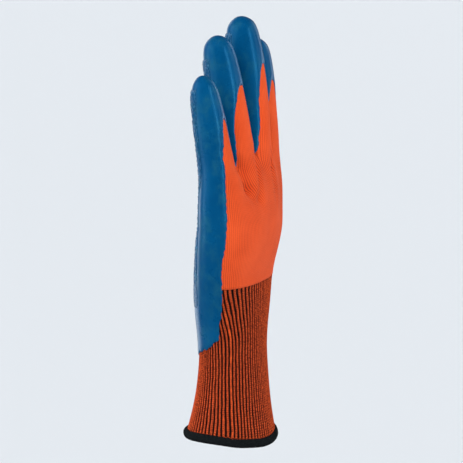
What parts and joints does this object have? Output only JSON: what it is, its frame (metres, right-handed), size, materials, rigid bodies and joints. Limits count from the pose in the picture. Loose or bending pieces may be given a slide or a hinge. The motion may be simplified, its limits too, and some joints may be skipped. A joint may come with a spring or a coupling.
{
  "type": "coated work glove",
  "caption": "Left-hand seamless knit work glove in its worn shape, with a ribbed cuff, smooth latex dip and crinkled palm grip.",
  "frame": {"origin": "centre of the cuff's mouth, level with the lower face of the hem", "axes": "+Z from the cuff to the fingertips, +Y out of the back of the hand, -Y out of the palm, +X to the little finger, -X to the thumb"},
  "size_m": [0.1398, 0.0608, 0.2709],
  "materials": {
    "orange_knit": "fine orange seamless knit, matt",
    "blue_latex": "smooth blue latex dip, satin",
    "crinkled_latex": "crinkled blue latex, satin",
    "plaited_rib": "orange rib with black elastic, matt",
    "black_thread": "black overlock thread, matt"
  },
  "bodies": {
    "root": {"knit_shell": "orange_knit", "latex_coat": "blue_latex", "grip_coat": "crinkled_latex", "rib_cuff": "plaited_rib", "hem_band": "black_thread"}
  },
  "joints": []
}
